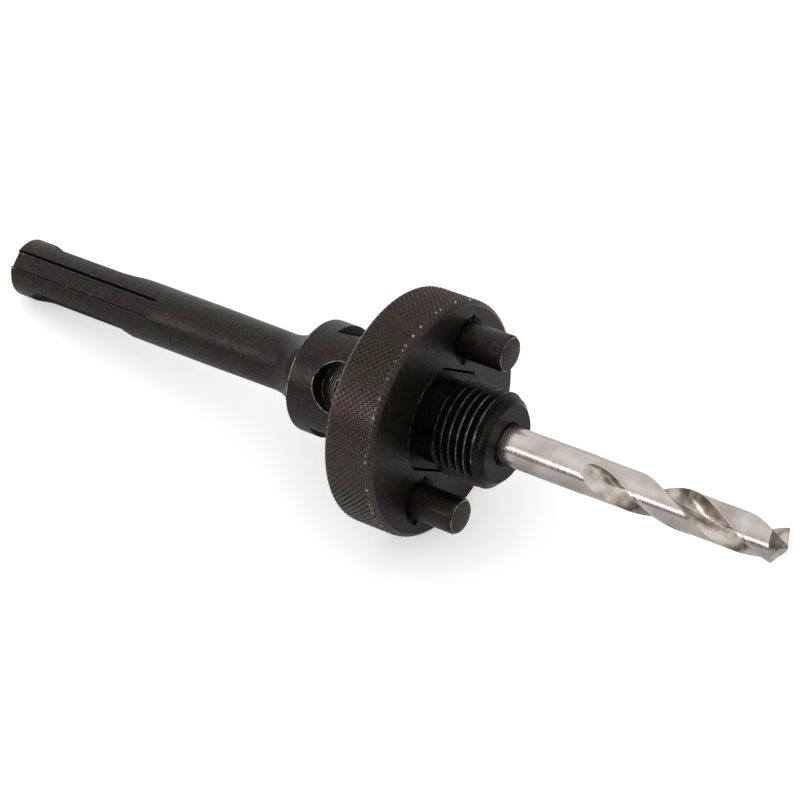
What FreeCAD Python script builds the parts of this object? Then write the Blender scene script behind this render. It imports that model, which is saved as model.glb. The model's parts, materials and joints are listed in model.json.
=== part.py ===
"""Hole saw arbor: a slotted hammer-drill shank, a sliding drive collar with two pins, and a pilot drill.

Every piece is modelled on the tool's own axis, which is X. X = 0 is the body's front shoulder, +X points
to the drill's tip, +Z to the upper drive pin and -Y to the set screw. One placement then lays the whole
tool on its shank end and the rim of its collar, with the floor at Z = 0. All sizes are millimetres and
degrees.
"""
import FreeCAD, Part

import math
import os

import Sketcher
from FreeCAD import Placement, Rotation, Vector

# Ends of a line or arc, and a circle's centre, as a sketch numbers them
START, END, CENTRE = 1, 2, 3
TOUCH = 1e-6

# The drive pins fill what the collar's walls leave between its bore and its rim
PLAIN_RIM = "(rim_radius - knurl_depth - rim_step)"
BORE_FLAT = "(flats_across / 2 + slide_clearance)"
PIN_RADIUS = f"(({PLAIN_RIM} - pin_outer_wall - {BORE_FLAT} - pin_inner_wall) / 2)"
PIN_PLACE = f"({BORE_FLAT} + pin_inner_wall + {PIN_RADIUS})"
PIN_NECK = f"({PIN_RADIUS} - pin_step)"

SIZES = [
    # Rear end: a 10 mm round shank for a hammer drill
    ("shank_radius", 5.0, "shank"),
    ("shank_end", 88.55, "shoulder to the rear end of the shank"),
    ("shank_chamfer", 1.2, "chamfer round the rear end"),
    ("slot_length", 32.5, "open drive slots, from the rear end"),
    ("slot_half_width", 1.7, "half the width of a drive slot"),
    ("slot_end_radius", 2.0, "rounded front end of a drive slot"),
    ("slot_floor", 3.2, "tool axis to the floor of a drive slot"),
    ("slot_clocking", 14.0, "drive slots, turned from the set screw's side"),
    ("ball_radius", 3.5, "locking balls that the closed grooves fit"),
    ("groove_floor", 3.0, "tool axis to the floor of a ball groove"),
    ("groove_rear", 80.85, "shoulder to the last full depth of a ball groove"),
    ("groove_front", 67.0, "shoulder to the first full depth of a ball groove"),
    ("groove_ramp", 8.0, "radius of the long run-out at a groove's front"),
    # Neck and body
    ("neck_taper_start", 46.0, "shoulder to the start of the neck's slight taper"),
    ("neck_radius", 4.85, "neck, where it meets the flare"),
    ("flare_radius", 8.0, "hollow round between neck and body"),
    ("body_radius", 9.4, "round body"),
    ("body_length", 24.4, "rear edge of the body to the shoulder"),
    ("body_edge", 0.45, "chamfer at the rear edge of the body"),
    ("flats_across", 15.9, "across the two flats"),
    ("flats_length", 20.35, "flats, back from the shoulder"),
    # Nose, at the crests of its 5/8 inch thread
    ("nose_length", 12.0, "shoulder to the front face of the nose"),
    ("thread_radius", 7.81, "crests of the thread"),
    ("relief_radius", 6.85, "undercut behind the thread"),
    ("relief_length", 2.2, "undercut, forward from the shoulder"),
    ("relief_ramp", 0.9, "slope from the undercut up to the crests"),
    ("lead_length", 1.5, "chamfer that leads a saw on to the thread"),
    ("nose_face_radius", 6.3, "front face of the nose"),
    ("mouth_chamfer", 0.45, "chamfer at the mouth of the pilot bore"),
    # Set screw and its hole
    ("screw_station", 15.2, "shoulder to the axis of the set screw"),
    ("counterbore_radius", 4.2, "counterbore for the set screw"),
    ("counterbore_floor", 6.4, "tool axis to the floor of the counterbore"),
    ("screw_radius", 2.9, "set screw over its thread"),
    ("screw_clearance", 0.05, "between the set screw and its hole, on the radius"),
    ("screw_top", 6.9, "tool axis to the outer end of the set screw"),
    ("screw_chamfer", 0.4, "chamfers of the set screw"),
    ("socket_across", 3.0, "hexagon socket, across its flats"),
    ("socket_depth", 2.2, "hexagon socket"),
    ("screw_gap", 0.05, "between the set screw and the drill's flat"),
    # Drive collar
    ("rim_radius", 19.56, "points of the knurled rim"),
    ("knurl_depth", 0.4, "points of the knurl to its valleys"),
    ("knurl_count", 90, "knurl points round the rim"),
    ("knurl_rows", 6, "whole diamonds across the rim"),
    ("collar_thickness", 8.7, "front face to rear face of the collar"),
    ("front_bevel_width", 0.9, "bevel at the collar's front, on the radius"),
    ("front_bevel_length", 0.65, "bevel at the collar's front, along the axis"),
    ("rear_bevel", 0.35, "bevel at the collar's rear"),
    ("rim_step", 0.05, "plain collar under the valleys of the knurl"),
    ("slide_clearance", 0.08, "between the collar's bore and the body"),
    # Drive pins
    ("pin_inner_wall", 2.17, "collar between a flat of its bore and a pin"),
    ("pin_outer_wall", 2.91, "collar between a pin and the plain edge under the knurl"),
    ("pin_reach", 7.9, "pins, forward of the collar"),
    ("pin_step", 0.3, "pin's neck, which is pressed into the collar, under its full radius"),
    ("pin_shoulder", 0.2, "collar's front face to where a pin takes its full radius"),
    ("pin_chamfer", 0.5, "chamfer at a pin's tip, along the pin"),
    ("pin_chamfer_width", 0.3, "chamfer at a pin's tip, on the radius"),
    ("pin_sink", 0.8, "countersink round a pin's root, on the radius"),
    ("pin_sink_depth", 0.45, "countersink round a pin's root"),
    # Pilot drill
    ("drill_radius", 3.175, "pilot drill"),
    ("bore_clearance", 0.025, "between the drill and its bore, on the radius"),
    ("drill_rear", 21.6, "shoulder back to the rear end of the drill"),
    ("drill_rear_chamfer", 0.4, "chamfer at the rear end of the drill"),
    ("bore_end_gap", 0.6, "drill's rear end to the full end of its bore"),
    ("drill_tip", 60.9, "shoulder to the point of the drill"),
    ("point_angle", 135.0, "whole angle of the drill's point"),
    ("flute_start", 26.95, "shoulder to the first cut of the flutes"),
    ("flute_lead", 36.7, "one turn of the flutes"),
    ("flute_web", 0.62, "tool axis to the floor of a flute"),
    ("flute_cutter", 5.0, "radius of the flutes' hollow, seen along the axis"),
    ("flute_runout", 6.5, "length over which a flute comes to full depth"),
    ("flute_runout_angle", 21.8, "rise of a flute's floor over its run-out"),
    ("flute_clocking", 117.0, "turn of the flutes where they come to full depth"),
    ("screw_flat", 2.75, "drill's axis to the flat under the set screw"),
    ("screw_flat_length", 8.0, "flat under the set screw"),
    # How the tool lies
    ("lying_roll", 43.8, "upper pin, turned from straight up towards the rear"),
]


def make_sheet(doc):
    """The sheet of driving sizes, one aliased cell each."""
    sheet = doc.addObject("Spreadsheet::Sheet", "Sizes")
    for row, (name, value, note) in enumerate(SIZES, start=1):
        sheet.set(f"A{row}", name)
        sheet.set(f"B{row}", str(value))
        sheet.setAlias(f"B{row}", name)
        sheet.set(f"C{row}", note)
    doc.recompute()
    return sheet


doc = FreeCAD.newDocument("hole_saw_arbor")
sheet = make_sheet(doc)


def value(text):
    """What a formula of the sheet's cells comes to."""
    result = sheet.evalExpression(text)
    return float(getattr(result, "Value", result))


def size(name):
    """One cell of the sheet."""
    return float(sheet.get(name))


def cells(text):
    """The same formula, as another object writes it, with each cell named through the sheet."""
    words = sorted((name for name, _, _ in SIZES), key=len, reverse=True)
    marked = text
    for index, word in enumerate(words):
        marked = marked.replace(word, f"<{index}>")
    for index, word in enumerate(words):
        marked = marked.replace(f"<{index}>", f"Sizes.{word}")
    return marked


def bind(item, **formulas):
    """Bind an object's properties to formulas of the sheet's cells."""
    for name, text in formulas.items():
        item.setExpression(name, cells(text))


def origin_part(body, role):
    """A plane or an axis of a body's own origin."""
    return next(item for item in body.Origin.OriginFeatures if item.Role == role)


def new_body(name):
    return doc.addObject("PartDesign::Body", name)


def new_sketch(body, name, role, turn=None, shift=None):
    """A sketch on one of the body's origin planes, turned about its own first axis and shifted."""
    sketch = body.newObject("Sketcher::SketchObject", name)
    sketch.AttachmentSupport = [(origin_part(body, role), "")]
    sketch.MapMode = "FlatFace"
    sketch.AttachmentOffset = Placement(Vector(), Rotation(Vector(1, 0, 0), value(turn) if turn else 0.0))
    if turn:
        sketch.setExpression("AttachmentOffset.Rotation.Angle", cells(turn))
    if shift:
        for letter, text in shift.items():
            sketch.setExpression(f"AttachmentOffset.Base.{letter}", cells(text))
    return sketch


def hold_point(sketch, geometry, end, x_text, y_text):
    """Hold one end of a line or arc, or a circle's centre, at formulas for its place in the sketch."""
    for kind, text, axis in (("DistanceX", x_text, -2), ("DistanceY", y_text, -1)):
        if text == "0":
            sketch.addConstraint(Sketcher.Constraint("PointOnObject", geometry, end, axis))
        else:
            index = sketch.addConstraint(Sketcher.Constraint(kind, -1, 1, geometry, end, value(text)))
            sketch.setExpression(f"Constraints[{index}]", cells(text))


def hold_radius(sketch, geometry, radius_text):
    index = sketch.addConstraint(Sketcher.Constraint("Radius", geometry, value(radius_text)))
    sketch.setExpression(f"Constraints[{index}]", cells(radius_text))


def arc_between(start, finish, radius, centre_side):
    """An arc between two points, with its centre left (1) or right (-1) of the way there."""
    chord = finish - start
    left = Vector(-chord.y, chord.x, 0).normalize()
    rise = math.sqrt(radius ** 2 - (chord.Length / 2) ** 2)
    centre = (start + finish) * 0.5 + left * (rise * centre_side)
    return Part.Arc(start, centre - left * (radius * centre_side), finish)


def draw_outline(sketch, points, arcs=None):
    """A closed outline through points given as formulas.

    `arcs` maps a side's number to its radius and the side its centre lies on: 1 for left of the way along
    the outline, -1 for right. Every other side is straight.
    """
    arcs = arcs or {}
    places = [Vector(value(x), value(y), 0) for x, y in points]
    sides = []
    for index, start in enumerate(places):
        finish = places[(index + 1) % len(places)]
        if index in arcs:
            shape = arc_between(start, finish, value(arcs[index][0]), arcs[index][1])
        else:
            shape = Part.LineSegment(start, finish)
        mark = sketch.addGeometry(shape, False)
        forward = sketch.Geometry[mark].StartPoint.distanceToPoint(start) < TOUCH
        sides.append((mark, START, END) if forward else (mark, END, START))
    for (here, _, finish), (ahead, begin, _) in zip(sides, sides[1:] + sides[:1]):
        sketch.addConstraint(Sketcher.Constraint("Coincident", here, finish, ahead, begin))
    for (here, begin, _), (x_text, y_text) in zip(sides, points):
        hold_point(sketch, here, begin, x_text, y_text)
    for index, (radius_text, _) in arcs.items():
        hold_radius(sketch, sides[index][0], radius_text)


def draw_circle(sketch, x_text, y_text, radius_text):
    """A circle whose centre and radius are formulas."""
    centre = Vector(value(x_text), value(y_text), 0)
    mark = sketch.addGeometry(Part.Circle(centre, Vector(0, 0, 1), value(radius_text)), False)
    hold_point(sketch, mark, CENTRE, x_text, y_text)
    hold_radius(sketch, mark, radius_text)


def revolve(body, name, sketch, kind="PartDesign::Revolution", axis="H_Axis"):
    """A full turn of a sketch about one of its own axes."""
    feature = body.newObject(kind, name)
    feature.Profile = sketch
    feature.ReferenceAxis = (sketch, [axis])
    feature.Angle = 360.0
    return feature


def pocket(body, name, sketch, depth, both_ways=False):
    """A cut to a depth against the sketch's facing direction, or half of it each way."""
    feature = body.newObject("PartDesign::Pocket", name)
    feature.Profile = sketch
    if both_ways:
        feature.SideType = "Symmetric"
    bind(feature, Length=depth)
    return feature


def helical_cut(body, name, sketch, height, rising=None):
    """A right-hand helical cut towards the drill's point, or back on a cone where an angle is given."""
    feature = body.newObject("PartDesign::SubtractiveHelix", name)
    feature.Profile = sketch
    feature.ReferenceAxis = (sketch, ["H_Axis"])
    feature.Mode = "pitch-height-angle"
    bind(feature, Pitch="flute_lead", Height=height)
    if rising:
        feature.Reversed = True
        bind(feature, Angle=rising)
    return feature


def repeat(body, name, originals):
    """The same features once more, half a turn round the tool's axis."""
    pattern = body.newObject("PartDesign::PolarPattern", name)
    pattern.Originals = originals
    pattern.Axis = (origin_part(body, "X_Axis"), [""])
    pattern.Angle = 360.0
    pattern.Occurrences = 2
    body.Tip = pattern
    return pattern


def build_bar(body):
    """The turned bar: shank, neck, body, undercut and nose."""
    bar = new_sketch(body, "bar_outline", "XY_Plane")
    flare_rise = "neck_radius + flare_radius - body_radius + body_edge"
    draw_outline(
        bar,
        [
            ("-shank_end", "0"),
            ("-shank_end", "shank_radius - shank_chamfer"),
            ("-shank_end + shank_chamfer", "shank_radius"),
            ("-neck_taper_start", "shank_radius"),
            (f"-body_length - sqrt(flare_radius^2 - ({flare_rise})^2)", "neck_radius"),
            ("-body_length", "body_radius - body_edge"),
            ("-body_length + body_edge", "body_radius"),
            ("0", "body_radius"),
            ("0", "relief_radius"),
            ("relief_length", "relief_radius"),
            ("relief_length + relief_ramp", "thread_radius"),
            ("nose_length - lead_length", "thread_radius"),
            ("nose_length", "nose_face_radius"),
            ("nose_length", "0"),
        ],
        {4: ("flare_radius", 1)},
    )
    revolve(body, "bar", bar)


def cut_flats(body):
    """Two flats on the body, from the shoulder back to a milled step."""
    reach = "body_radius + 1"
    for side, sign in (("upper", ""), ("lower", "-")):
        outline = new_sketch(body, f"{side}_flat_outline", "XZ_Plane")
        draw_outline(
            outline,
            [
                ("-flats_length", f"{sign}flats_across / 2"),
                ("relief_length / 2", f"{sign}flats_across / 2"),
                ("relief_length / 2", f"{sign}({reach})"),
                ("-flats_length", f"{sign}({reach})"),
            ],
        )
        pocket(body, f"{side}_flat", outline, f"2 * ({reach})", both_ways=True)


def cut_shank_grooves(body):
    """Two open drive slots and, a quarter turn on, two closed grooves for the locking balls."""
    outside = "(shank_radius + 1)"
    slot = new_sketch(
        body,
        "slot_outline",
        "XZ_Plane",
        turn="-slot_clocking",
        shift={"y": f"{outside} * sin(slot_clocking)", "z": f"{outside} * cos(slot_clocking)"},
    )
    slot_rise = "slot_end_radius - sqrt(slot_end_radius^2 - slot_half_width^2)"
    slot_corner = f"-shank_end + slot_length - ({slot_rise})"
    draw_outline(
        slot,
        [
            ("-shank_end - shank_chamfer", "-slot_half_width"),
            (slot_corner, "-slot_half_width"),
            (slot_corner, "slot_half_width"),
            ("-shank_end - shank_chamfer", "slot_half_width"),
        ],
        {1: ("slot_end_radius", 1)},
    )
    slot_cut = pocket(body, "drive_slot", slot, f"{outside} - slot_floor")

    cutter_axis = "groove_floor + ball_radius"
    groove = new_sketch(body, "ball_groove_outline", "XZ_Plane", turn="-slot_clocking")
    front_reach = "sqrt(groove_ramp^2 - (groove_ramp - ball_radius)^2)"
    draw_outline(
        groove,
        [
            ("-groove_rear - ball_radius", cutter_axis),
            ("-groove_rear", "groove_floor"),
            ("-groove_front", "groove_floor"),
            (f"-groove_front + {front_reach}", cutter_axis),
        ],
        {0: ("ball_radius", 1), 2: ("groove_ramp", 1)},
    )
    spindle = groove.addGeometry(
        Part.LineSegment(
            Vector(-value("groove_rear"), value(cutter_axis), 0),
            Vector(-value("groove_front"), value(cutter_axis), 0),
        ),
        True,
    )
    hold_point(groove, spindle, START, "-groove_rear", cutter_axis)
    hold_point(groove, spindle, END, "-groove_front", cutter_axis)
    groove_cut = revolve(body, "ball_groove", groove, "PartDesign::Groove", "Axis0")
    repeat(body, "slots_and_grooves", [slot_cut, groove_cut])


def cut_bores(body):
    """The pilot bore with its drilled end, and the counterbored hole of the set screw."""
    radius = "(drill_radius + bore_clearance)"
    bore = new_sketch(body, "pilot_bore_outline", "XY_Plane")
    draw_outline(
        bore,
        [
            (f"-drill_rear - bore_end_gap - {radius} / tan(point_angle / 2)", "0"),
            ("-drill_rear - bore_end_gap", radius),
            ("nose_length - mouth_chamfer", radius),
            ("nose_length", f"{radius} + mouth_chamfer"),
            ("nose_length", "0"),
        ],
    )
    revolve(body, "pilot_bore", bore, "PartDesign::Groove")

    outside = "body_radius + 1"
    counterbore = new_sketch(body, "counterbore_outline", "XZ_Plane", shift={"z": outside})
    draw_circle(counterbore, "-screw_station", "0", "counterbore_radius")
    pocket(body, "counterbore", counterbore, f"{outside} - counterbore_floor")
    hole = new_sketch(body, "screw_hole_outline", "XZ_Plane", shift={"z": outside})
    draw_circle(hole, "-screw_station", "0", "screw_radius + screw_clearance")
    pocket(body, "screw_hole", hole, outside)


def build_arbor():
    """Shank, neck, body and nose, all in one bar."""
    body = new_body("arbor")
    build_bar(body)
    cut_flats(body)
    cut_shank_grooves(body)
    cut_bores(body)
    return body


def build_collar_plate():
    """The collar without its knurl: a bevelled plate, its two-flat bore and two countersunk pin holes."""
    body = new_body("collar_plate")
    plate = new_sketch(body, "plate_outline", "XY_Plane")
    draw_outline(
        plate,
        [
            ("-collar_thickness", "0"),
            ("-collar_thickness", f"{PLAIN_RIM} - rear_bevel"),
            ("-collar_thickness + rear_bevel", PLAIN_RIM),
            ("-front_bevel_length", PLAIN_RIM),
            ("0", "rim_radius - front_bevel_width"),
            ("0", "0"),
        ],
    )
    revolve(body, "plate", plate)

    bore_radius = "(body_radius + slide_clearance)"
    bore_corner = f"sqrt({bore_radius}^2 - {BORE_FLAT}^2)"
    bore = new_sketch(body, "two_flat_bore_outline", "YZ_Plane")
    draw_outline(
        bore,
        [
            (f"-{bore_corner}", BORE_FLAT),
            (f"-{bore_corner}", f"-{BORE_FLAT}"),
            (bore_corner, f"-{BORE_FLAT}"),
            (bore_corner, BORE_FLAT),
        ],
        {0: (bore_radius, 1), 2: (bore_radius, 1)},
    )
    pocket(body, "two_flat_bore", bore, "3 * collar_thickness", both_ways=True)

    hole = new_sketch(body, "pin_hole_outline", "YZ_Plane")
    draw_circle(hole, "0", PIN_PLACE, PIN_NECK)
    hole_cut = pocket(body, "pin_hole", hole, "3 * collar_thickness", both_ways=True)
    sink = new_sketch(body, "pin_sink_outline", "XZ_Plane")
    draw_outline(
        sink,
        [
            ("-pin_sink_depth", PIN_PLACE),
            ("-pin_sink_depth", f"{PIN_PLACE} + {PIN_NECK}"),
            ("0", f"{PIN_PLACE} + {PIN_RADIUS} + pin_sink"),
            ("pin_sink_depth", f"{PIN_PLACE} + {PIN_RADIUS} + pin_sink"),
            ("pin_sink_depth", PIN_PLACE),
        ],
    )
    spindle = sink.addGeometry(
        Part.LineSegment(
            Vector(-value("pin_sink_depth"), value(PIN_PLACE), 0),
            Vector(value("pin_sink_depth"), value(PIN_PLACE), 0),
        ),
        True,
    )
    hold_point(sink, spindle, START, "-pin_sink_depth", PIN_PLACE)
    hold_point(sink, spindle, END, "pin_sink_depth", PIN_PLACE)
    sink_cut = revolve(body, "pin_sink", sink, "PartDesign::Groove", "Axis0")
    repeat(body, "both_pin_holes", [hole_cut, sink_cut])
    return body


def knurl_ring():
    """The rim's knurl: a ring of four-sided points between crossed grooves, on a smooth inner wall."""
    count = int(size("knurl_count"))
    half_rows = 2 * int(size("knurl_rows"))
    front = -size("front_bevel_length")
    rear = -(size("collar_thickness") - size("rear_bevel"))
    step = (front - rear) / half_rows
    half_turn = math.pi / count
    valley = size("rim_radius") - size("knurl_depth")
    phase = math.radians(size("lying_roll"))
    inner = size("rim_radius") - size("knurl_depth") - size("rim_step") - size("front_bevel_width")

    def corner(column, row):
        """Grid points alternate between valleys and peaks along every row and every column."""
        radius = valley if (column + row) % 2 == 0 else size("rim_radius")
        angle = phase + column * half_turn
        return Vector(rear + row * step, -radius * math.sin(angle), radius * math.cos(angle))

    grid = [[corner(column, row) for column in range(2 * count)] for row in range(half_rows + 1)]
    faces = []
    for row in range(half_rows):
        for column in range(2 * count):
            beside = (column + 1) % (2 * count)
            square = (grid[row][column], grid[row][beside], grid[row + 1][beside], grid[row + 1][column])
            # Each square of the grid folds along the groove between its two valleys
            first = 0 if (column + row) % 2 == 0 else 1
            a, b, c, d = square[first:] + square[:first]
            faces.append(Part.Face(Part.makePolygon([a, b, c, a])))
            faces.append(Part.Face(Part.makePolygon([a, c, d, a])))
    faces += [Part.Face(Part.makePolygon(row + row[:1])) for row in (grid[0], grid[-1])]
    knurled = Part.makeSolid(Part.makeShell(faces))
    if knurled.Volume < 0:
        knurled.reverse()
    core = Part.makeCylinder(inner, 2 * size("collar_thickness"), Vector(2 * rear, 0, 0), Vector(1, 0, 0))
    return knurled.cut(core)


def build_collar(plate):
    """Plate and knurl as one piece."""
    ring = doc.addObject("Part::Feature", "knurl")
    ring.Shape = knurl_ring()
    collar = doc.addObject("Part::Fuse", "drive_collar")
    collar.Base = plate
    collar.Tool = ring
    collar.Refine = False
    return collar


def build_pin(name):
    """A drive pin on its own axis: a neck through the collar, and a thicker end in front of it."""
    body = new_body(name)
    outline = new_sketch(body, f"{name}_outline", "XY_Plane")
    draw_outline(
        outline,
        [
            ("-collar_thickness", "0"),
            ("-collar_thickness", PIN_NECK),
            ("pin_shoulder", PIN_NECK),
            ("pin_shoulder", PIN_RADIUS),
            ("pin_reach - pin_chamfer", PIN_RADIUS),
            ("pin_reach", f"{PIN_RADIUS} - pin_chamfer_width"),
            ("pin_reach", "0"),
        ],
    )
    revolve(body, f"{name}_turned", outline)
    return body


def build_set_screw():
    """The set screw on its own axis, which is the sketch's upright axis, with its hexagon socket."""
    body = new_body("set_screw")
    tip = "(screw_flat + screw_gap)"
    outline = new_sketch(body, "screw_outline", "XY_Plane")
    draw_outline(
        outline,
        [
            ("0", "-screw_top"),
            ("screw_radius - screw_chamfer", "-screw_top"),
            ("screw_radius", "-screw_top + screw_chamfer"),
            ("screw_radius", f"-{tip} - screw_chamfer"),
            ("screw_radius - screw_chamfer", f"-{tip}"),
            ("0", f"-{tip}"),
        ],
    )
    revolve(body, "screw_turned", outline, axis="V_Axis")
    outside = "(screw_top + screw_chamfer)"
    socket = new_sketch(body, "socket_outline", "XZ_Plane", shift={"z": outside})
    corner = "socket_across / sqrt(3)"
    draw_outline(
        socket,
        [
            (corner, "0"),
            (f"{corner} / 2", "socket_across / 2"),
            (f"-{corner} / 2", "socket_across / 2"),
            (f"-{corner}", "0"),
            (f"-{corner} / 2", "-socket_across / 2"),
            (f"{corner} / 2", "-socket_across / 2"),
        ],
    )
    pocket(body, "socket", socket, f"{outside} - screw_top + socket_depth")
    return body


def build_drill():
    """The pilot drill: a plain shank with a flat for the screw, two flutes and a conical point."""
    body = new_body("pilot_drill")
    blank = new_sketch(body, "drill_outline", "XY_Plane")
    draw_outline(
        blank,
        [
            ("-drill_rear", "0"),
            ("-drill_rear", "drill_radius - drill_rear_chamfer"),
            ("-drill_rear + drill_rear_chamfer", "drill_radius"),
            ("drill_tip - drill_radius / tan(point_angle / 2)", "drill_radius"),
            ("drill_tip", "0"),
        ],
    )
    revolve(body, "drill_blank", blank)

    outside = "(drill_radius + drill_rear_chamfer)"
    flat = new_sketch(body, "screw_flat_outline", "XZ_Plane", shift={"z": outside})
    draw_outline(
        flat,
        [
            (f"-screw_station {side_x} screw_flat_length / 2", f"{side_y}{outside}")
            for side_x, side_y in (("-", "-"), ("+", "-"), ("+", ""), ("-", ""))
        ],
    )
    pocket(body, "screw_flat", flat, f"{outside} - screw_flat")

    top = "(drill_radius + flute_web)"
    half = f"sqrt(flute_cutter^2 - (flute_web + flute_cutter - {top})^2)"
    middle = "(flute_start + flute_runout)"
    cuts = []
    for name in ("flute", "flute_runout"):
        outline = new_sketch(body, f"{name}_outline", "XZ_Plane", turn="flute_clocking")
        ends = [(f"{middle} - {half}", top), (f"{middle} + {half}", top)]
        draw_outline(outline, ends, {0: ("flute_cutter", 1)})
        if name == "flute":
            cut = helical_cut(body, name, outline, f"drill_tip + {half} - {middle}")
        else:
            cut = helical_cut(body, name, outline, "flute_runout", rising="flute_runout_angle")
        cuts.append(cut)
    repeat(body, "both_flutes", cuts)
    return body


def lying_placement():
    """The tool lies on its shank's rear corner and on two knurl points at its collar's rear edge."""
    rim_station = -(size("collar_thickness") - size("rear_bevel"))
    rim_reach = size("rim_radius") * math.cos(math.pi / size("knurl_count"))
    heel_station = -(size("shank_end") - size("shank_chamfer"))
    heel_reach = size("shank_radius")
    rise = math.atan2(rim_reach - heel_reach, rim_station - heel_station)
    lift = heel_reach * math.cos(rise) - heel_station * math.sin(rise)
    rear = -size("shank_end") * math.cos(rise) - (heel_reach - size("shank_chamfer")) * math.sin(rise)
    front = size("drill_tip") * math.cos(rise)
    turned = Rotation(Vector(0, 1, 0), -math.degrees(rise)).multiply(
        Rotation(Vector(1, 0, 0), -size("lying_roll"))
    )
    return Placement(Vector(-(rear + front) / 2, 0, lift), turned)


def check(items):
    """Stop on any failed feature or unusable solid."""
    for item in doc.Objects:
        faults = {"Invalid", "Error"} & set(item.State)
        if faults:
            raise RuntimeError(f"{item.Name}: {item.State}")
    for item in items:
        shape = item.Shape
        if shape.isNull() or not shape.isValid() or len(shape.Solids) != 1:
            raise RuntimeError(f"{item.Label}: not one valid solid")


def main():
    arbor = build_arbor()
    collar = build_collar(build_collar_plate())
    upper_pin = build_pin("drive_pin_upper")
    lower_pin = build_pin("drive_pin_lower")
    set_screw = build_set_screw()
    drill = build_drill()

    lying = lying_placement()
    pin_offset = value(PIN_PLACE)
    places = {
        arbor: Vector(),
        collar: Vector(),
        upper_pin: Vector(0, 0, pin_offset),
        lower_pin: Vector(0, 0, -pin_offset),
        set_screw: Vector(-size("screw_station"), 0, 0),
        drill: Vector(),
    }
    for item, offset in places.items():
        item.Placement = lying.multiply(Placement(offset, Rotation()))
    doc.recompute()
    check(places)

    os.makedirs("parts", exist_ok=True)
    for item in places:
        item.Shape.exportStep(os.path.join("parts", f"{item.Label}.step"))
        print(item.Label, round(item.Shape.Volume, 1), item.Shape.BoundBox)


main()
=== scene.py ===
"""Looks of the hole saw arbor: a black-oxide arbor and drive collar with a bright ground pilot drill.

Every piece is modelled on the tool's own axis, in millimetres: X = 0 is the body's front shoulder, +X points
to the drill's point, +Z to the upper drive pin and -Y to the set screw. ToolFrame then lays it in the row
frame, in metres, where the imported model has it. Angles round the tool start at +Z and grow towards -Y.
"""

import json
import logging
import math
from dataclasses import dataclass, field
from enum import Enum
from itertools import product
from typing import Callable, Iterable, Optional, Sequence

import bmesh
import bpy
from mathutils import Matrix, Vector

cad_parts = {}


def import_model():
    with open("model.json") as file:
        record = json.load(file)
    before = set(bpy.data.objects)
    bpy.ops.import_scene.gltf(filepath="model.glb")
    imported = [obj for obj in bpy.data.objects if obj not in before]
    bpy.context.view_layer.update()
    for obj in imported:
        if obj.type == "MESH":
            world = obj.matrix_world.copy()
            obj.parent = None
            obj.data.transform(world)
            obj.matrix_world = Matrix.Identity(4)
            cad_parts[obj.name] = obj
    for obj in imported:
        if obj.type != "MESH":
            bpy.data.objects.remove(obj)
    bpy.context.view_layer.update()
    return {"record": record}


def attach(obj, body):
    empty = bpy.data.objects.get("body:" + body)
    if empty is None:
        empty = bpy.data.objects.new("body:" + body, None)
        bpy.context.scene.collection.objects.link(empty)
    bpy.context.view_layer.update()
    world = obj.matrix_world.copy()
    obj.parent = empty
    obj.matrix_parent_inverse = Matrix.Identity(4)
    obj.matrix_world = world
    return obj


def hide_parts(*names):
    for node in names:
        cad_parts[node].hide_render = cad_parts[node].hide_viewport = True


Pair = tuple[float, float]
Triple = tuple[float, float, float]
Tree = bpy.types.NodeTree
Socket = bpy.types.NodeSocket
Material = bpy.types.Material
Piece = bpy.types.Object

LOG = logging.getLogger("hole_saw_arbor")
MM = 0.001
TOOL_AXIS = Vector((1, 0, 0))
# In millimetres: what counts as one point, how near a surface a corner and a face's middle count as on
# it, and how far a cutter reaches past its cut.
MERGE = 1e-4
TOUCH = 0.01
SKIN = 0.02
OVER = 1.0
# In millimetres: how near corners are merged after a cut, along a sweep and in a fine grid.
CUT_WELD = 0.004
SWEEP_WELD = 0.002
GRID_WELD = 0.001
# Facets round a bore, a pin or a screw.
FACETS = 96


class Slot(Enum):
    """Material slots of the record."""

    BLACK = "black_steel"
    BRIGHT = "bright_steel"


class Body(Enum):
    """Bodies that pieces ride on."""

    ARBOR = "arbor"
    COLLAR = "drive_collar"
    SCREW = "set_screw"


@dataclass(frozen=True)
class ToolFrame:
    """Where the tool lies in the row frame."""

    matrix: Matrix

    @classmethod
    def from_record(cls, record: dict) -> "ToolFrame":
        """Read the tool's axes from the drive pins' mount and the set screw's joint.

        Args:
            record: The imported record.

        Returns:
            The frame, whose matrix turns tool millimetres to row metres.
        """
        mounts = {mount["name"]: mount for mount in record["mounts"]}
        joints = {joint["name"]: joint for joint in record["behaviour"]["joints"]}
        pins = mounts["drive_pins"]
        forward = Vector(pins["axis"]).normalized()
        side = -Vector(joints["set_screw_travel"]["axis"]).normalized()
        up = forward.cross(side).normalized()
        origin = Vector(pins["pos_m"]) - forward * (DrivePin.reach * MM / 2)
        turn = Matrix((forward, side, up)).transposed().to_4x4()
        return cls(Matrix.Translation(origin) @ turn @ Matrix.Scale(MM, 4))


def linear(hex_colour: str) -> tuple[float, float, float, float]:
    """Turn an sRGB hex colour to linear.

    Args:
        hex_colour: Six hex digits after a #.

    Returns:
        Red, green, blue and an alpha of 1.
    """
    channels = (int(hex_colour[i:i + 2], 16) / 255 for i in (1, 3, 5))
    red, green, blue = (c / 12.92 if c <= 0.04045 else ((c + 0.055) / 1.055) ** 2.4 for c in channels)
    return (red, green, blue, 1.0)


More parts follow.
